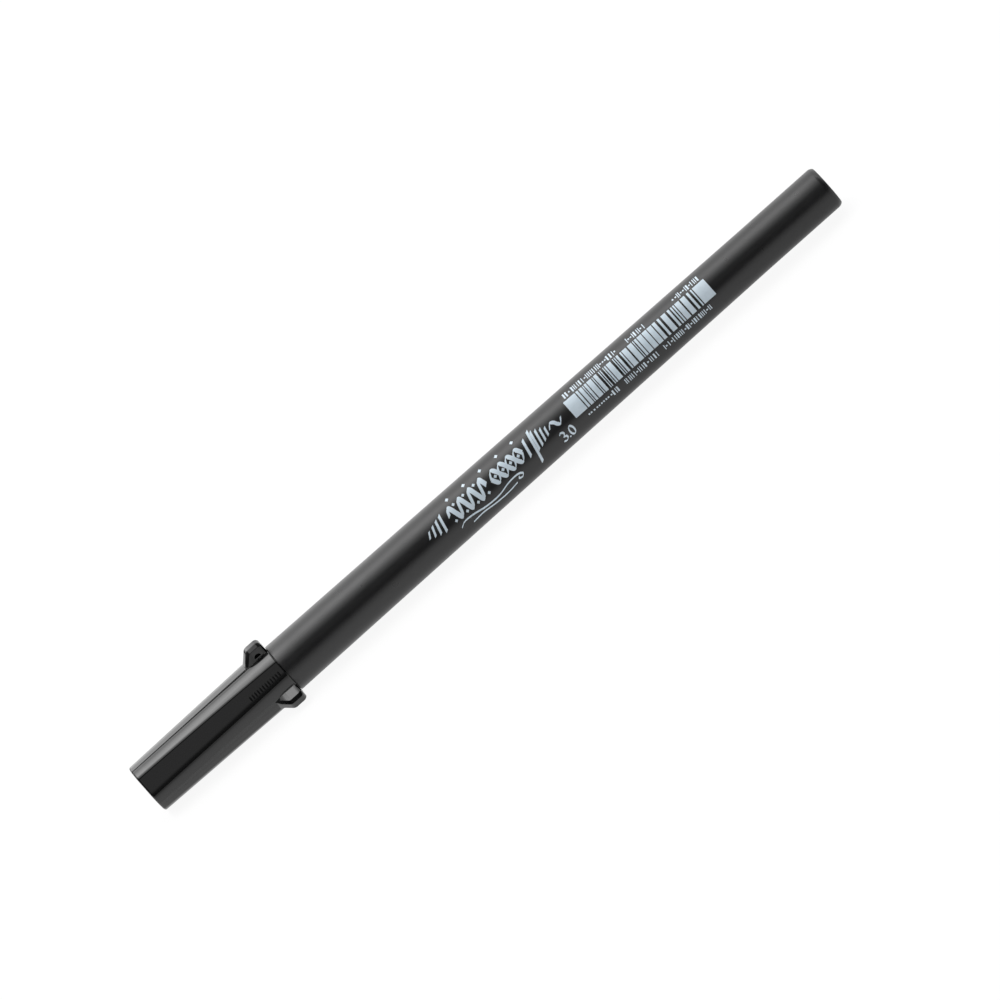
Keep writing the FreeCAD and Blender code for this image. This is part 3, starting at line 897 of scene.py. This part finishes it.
def make_stripes():
    """Decorative stripe block: light ends and an uneven run of bars that encodes nothing."""
    bm = bmesh.new()
    draw = random.Random(7)
    block(bm, STRIPES_LEFT, STRIPES_LEFT + STRIPES_MARGIN, STRIPES_LOW, STRIPES_HIGH)
    x = STRIPES_LEFT + STRIPES_MARGIN + STRIPES_GAP
    last = STRIPES_RIGHT - STRIPES_MARGIN - STRIPES_GAP
    while x < last:
        end = x + draw.choice([0.16, 0.28, 0.42, 0.62, 0.9])
        if end > last - STRIPES_LAST_BAR:
            end = last
        block(bm, x, end, STRIPES_LOW, STRIPES_HIGH)
        x = end + draw.choice([0.17, 0.2, 0.28, 0.42])
    block(bm, STRIPES_RIGHT - STRIPES_MARGIN, STRIPES_RIGHT, STRIPES_LOW, STRIPES_HIGH)
    lay(smooth_object("print_stripes", bm), "barrel", LOOKS["print_ink"])


def make_fine_marks():
    """Rows of small ticks and dots in place of fine print."""
    bm = bmesh.new()
    draw = random.Random(11)
    for left, right, low, high in FINE_ROWS:
        x = left
        while x < right - FINE_TICK:
            width = draw.choice((1, 1, 1, 2)) * FINE_TICK
            if draw.random() < FINE_DOT_SHARE:
                middle = (low + high) / 2
                block(bm, x, x + 2 * FINE_TICK, middle - FINE_TICK, middle + FINE_TICK)
                width = 2 * FINE_TICK
            else:
                block(bm, x, min(x + width, right), low, high)
            x += width + draw.choice((1.3, 1.6, 2.4)) * FINE_TICK
    lay(smooth_object("print_fine_marks", bm), "barrel", LOOKS["print_ink"])


# ---------------------------------------------------------------- studio


def add_camera():
    """Long-lens camera in front of the print, rolled so that the tail points up and to the right."""
    data = bpy.data.cameras.new("camera")
    camera = bpy.data.objects.new("camera", data)
    bpy.context.scene.collection.objects.link(camera)
    bpy.context.scene.camera = camera
    elevation = math.radians(ELEVATION_DEG)
    back = Vector((0, -math.cos(elevation), math.sin(elevation)))
    roll = Matrix.Rotation(-math.radians(ROLL_DEG), 3, "Z")
    turn = (-back).to_track_quat("-Z", "Y").to_matrix() @ roll
    shift = turn @ Vector((AIM_RIGHT, -AIM_DOWN, 0))
    spot = Vector((0, 0, AXIS_Z)) + back * DISTANCE + shift
    camera.matrix_world = Matrix.Translation(spot) @ turn.to_4x4()
    data.sensor_width = SENSOR_MM
    data.lens = SENSOR_MM * DISTANCE / FRAME_WIDTH


def add_world():
    """Soft light from overhead that fades towards the camera and towards the pen's two ends."""
    world = bpy.data.worlds.new("studio")
    bpy.context.scene.world = world
    world.use_nodes = True
    nodes = world.node_tree.nodes
    links = world.node_tree.links
    nodes.clear()
    coords = nodes.new("ShaderNodeTexCoord")
    split = nodes.new("ShaderNodeSeparateXYZ")
    links.new(coords.outputs["Generated"], split.inputs["Vector"])

    def math_node(operation, first, second):
        node = nodes.new("ShaderNodeMath")
        node.operation = operation
        for socket, value in zip(node.inputs, (first, second)):
            if isinstance(value, (int, float)):
                socket.default_value = value
            else:
                links.new(value, socket)
        return node.outputs["Value"]

    front = math_node("MULTIPLY", split.outputs["Y"], -1)
    angle = math_node("ARCTAN2", split.outputs["Z"], front)
    span = math_node("DIVIDE", math_node("ADD", angle, math.pi), math.tau)
    ramp = nodes.new("ShaderNodeValToRGB")
    links.new(span, ramp.inputs["Fac"])
    stops = ramp.color_ramp.elements
    stops.remove(stops[-1])
    for degrees, value in SKY:
        position = (degrees + 180) / 360
        stop = stops[0] if degrees == SKY[0][0] else stops.new(position)
        stop.position = position
        stop.color = (value / SKY_TOP, value / SKY_TOP, value / SKY_TOP, 1)
    tail_side = math_node("SUBTRACT", 1.0, math_node("MULTIPLY", split.outputs["X"], SIDE_FALL))
    cap_side = math_node("MULTIPLY", math_node("ADD", split.outputs["X"], CAP_SIDE_EDGE), SIDE_FALL)
    side = math_node("MINIMUM", math_node("MINIMUM", tail_side, cap_side), SIDE_MOST)
    rearward = math_node("MULTIPLY", split.outputs["Y"], REAR_RISE)
    rearward = math_node("MINIMUM", math_node("MAXIMUM", rearward, 0.0), 1.0)
    least = math_node("ADD", SIDE_LEAST, math_node("MULTIPLY", rearward, REAR_LEAST - SIDE_LEAST))
    side = math_node("MAXIMUM", side, least)
    strength = math_node("MULTIPLY", math_node("MULTIPLY", ramp.outputs["Color"], SKY_TOP), side)
    background = nodes.new("ShaderNodeBackground")
    links.new(strength, background.inputs["Strength"])
    output = nodes.new("ShaderNodeOutputWorld")
    links.new(background.outputs["Background"], output.inputs["Surface"])


def sheet_of_floor(name, drop, albedo, glow):
    """Wide level sheet just under the pen, with its own even glow."""
    mesh = bpy.data.meshes.new(name)
    corners = [(-FLOOR_REACH, -FLOOR_REACH, 0), (FLOOR_REACH, -FLOOR_REACH, 0),
               (FLOOR_REACH, FLOOR_REACH, 0), (-FLOOR_REACH, FLOOR_REACH, 0)]
    mesh.from_pydata(corners, [], [(0, 1, 2, 3)])
    floor = bpy.data.objects.new(name, mesh)
    floor.location.z = -drop * MM
    bpy.context.scene.collection.objects.link(floor)
    paint = bpy.data.materials.new(name)
    paint.use_nodes = True
    shader = paint.node_tree.nodes["Principled BSDF"]
    shader.inputs["Base Color"].default_value = (albedo, albedo, albedo, 1)
    shader.inputs["Roughness"].default_value = 0.9
    shader.inputs["Specular IOR Level"].default_value = 0.0
    shader.inputs["Emission Color"].default_value = (1, 1, 1, 1)
    shader.inputs["Emission Strength"].default_value = glow
    mesh.materials.append(paint)
    return floor, paint


def add_floor():
    """Plain pale floor with a faint shadow, and the sheet that the pen's gloss sees in its place, whose
    glow carries painted light and a painted shadow of the pen.
    """
    floor, _ = sheet_of_floor("floor", FLOOR_DROP, FLOOR_ALBEDO, FLOOR_GLOW)
    floor.visible_glossy = False
    floor.visible_diffuse = False
    bounce, paint = sheet_of_floor("floor_bounce", BOUNCE_DROP, BOUNCE_ALBEDO, 0.0)
    bounce.visible_camera = False
    bounce.visible_shadow = False
    nodes = paint.node_tree.nodes
    links = paint.node_tree.links
    coords = nodes.new("ShaderNodeTexCoord")
    split = nodes.new("ShaderNodeSeparateXYZ")
    links.new(coords.outputs["Object"], split.inputs["Vector"])
    glow = None
    # Each fall dims the sheet's glow: painted shade under and behind the pen, far in front and towards
    # the tail
    for axis, *limits in BOUNCE_PAINTED_SHADE:
        fall = nodes.new("ShaderNodeMapRange")
        for name, value in zip(("From Min", "From Max", "To Min", "To Max"), limits):
            fall.inputs[name].default_value = value
        links.new(split.outputs[axis], fall.inputs["Value"])
        if glow is None:
            glow = fall.outputs["Result"]
        else:
            product = nodes.new("ShaderNodeMath")
            product.operation = "MULTIPLY"
            links.new(glow, product.inputs[0])
            links.new(fall.outputs["Result"], product.inputs[1])
            glow = product.outputs["Value"]
    links.new(glow, nodes["Principled BSDF"].inputs["Emission Strength"])


def add_flag():
    """Black card behind the cap, which only the gloss of the fins' slopes sees."""
    mesh = bpy.data.meshes.new("flag")
    low, high = FLAG_HEIGHT
    near, far = FLAG_SPAN
    corners = [(near, FLAG_Y, low), (far, FLAG_Y, low), (far, FLAG_Y, high), (near, FLAG_Y, high)]
    mesh.from_pydata(corners, [], [(0, 1, 2, 3)])
    flag = bpy.data.objects.new("flag", mesh)
    bpy.context.scene.collection.objects.link(flag)
    flag.visible_camera = False
    flag.visible_diffuse = False
    flag.visible_shadow = False
    paint = bpy.data.materials.new("flag")
    paint.use_nodes = True
    shader = paint.node_tree.nodes["Principled BSDF"]
    shader.inputs["Base Color"].default_value = (0, 0, 0, 1)
    shader.inputs["Specular IOR Level"].default_value = 0.0
    mesh.materials.append(paint)


def dress_frame():
    """Materials for the CAD nodes that stay."""
    for node, look in (("front_section", "section_gloss"), ("cap_liner", "liner_milky"),
                       ("reservoir_fibre", "ink_fibre"), ("reservoir_film", "film"),
                       ("breather_tube", "film")):
        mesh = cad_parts[node].data
        mesh.materials.clear()
        mesh.materials.append(LOOKS[look])


def main():
    add_camera()
    add_world()
    add_floor()
    add_flag()
    dress_frame()
    make_barrel()
    make_tail_plug()
    make_cap()
    make_cap_mark()
    make_nib()
    make_flourish()
    make_size_number()
    make_stripes()
    make_fine_marks()
    bpy.context.scene.view_settings.view_transform = "Standard"


main()
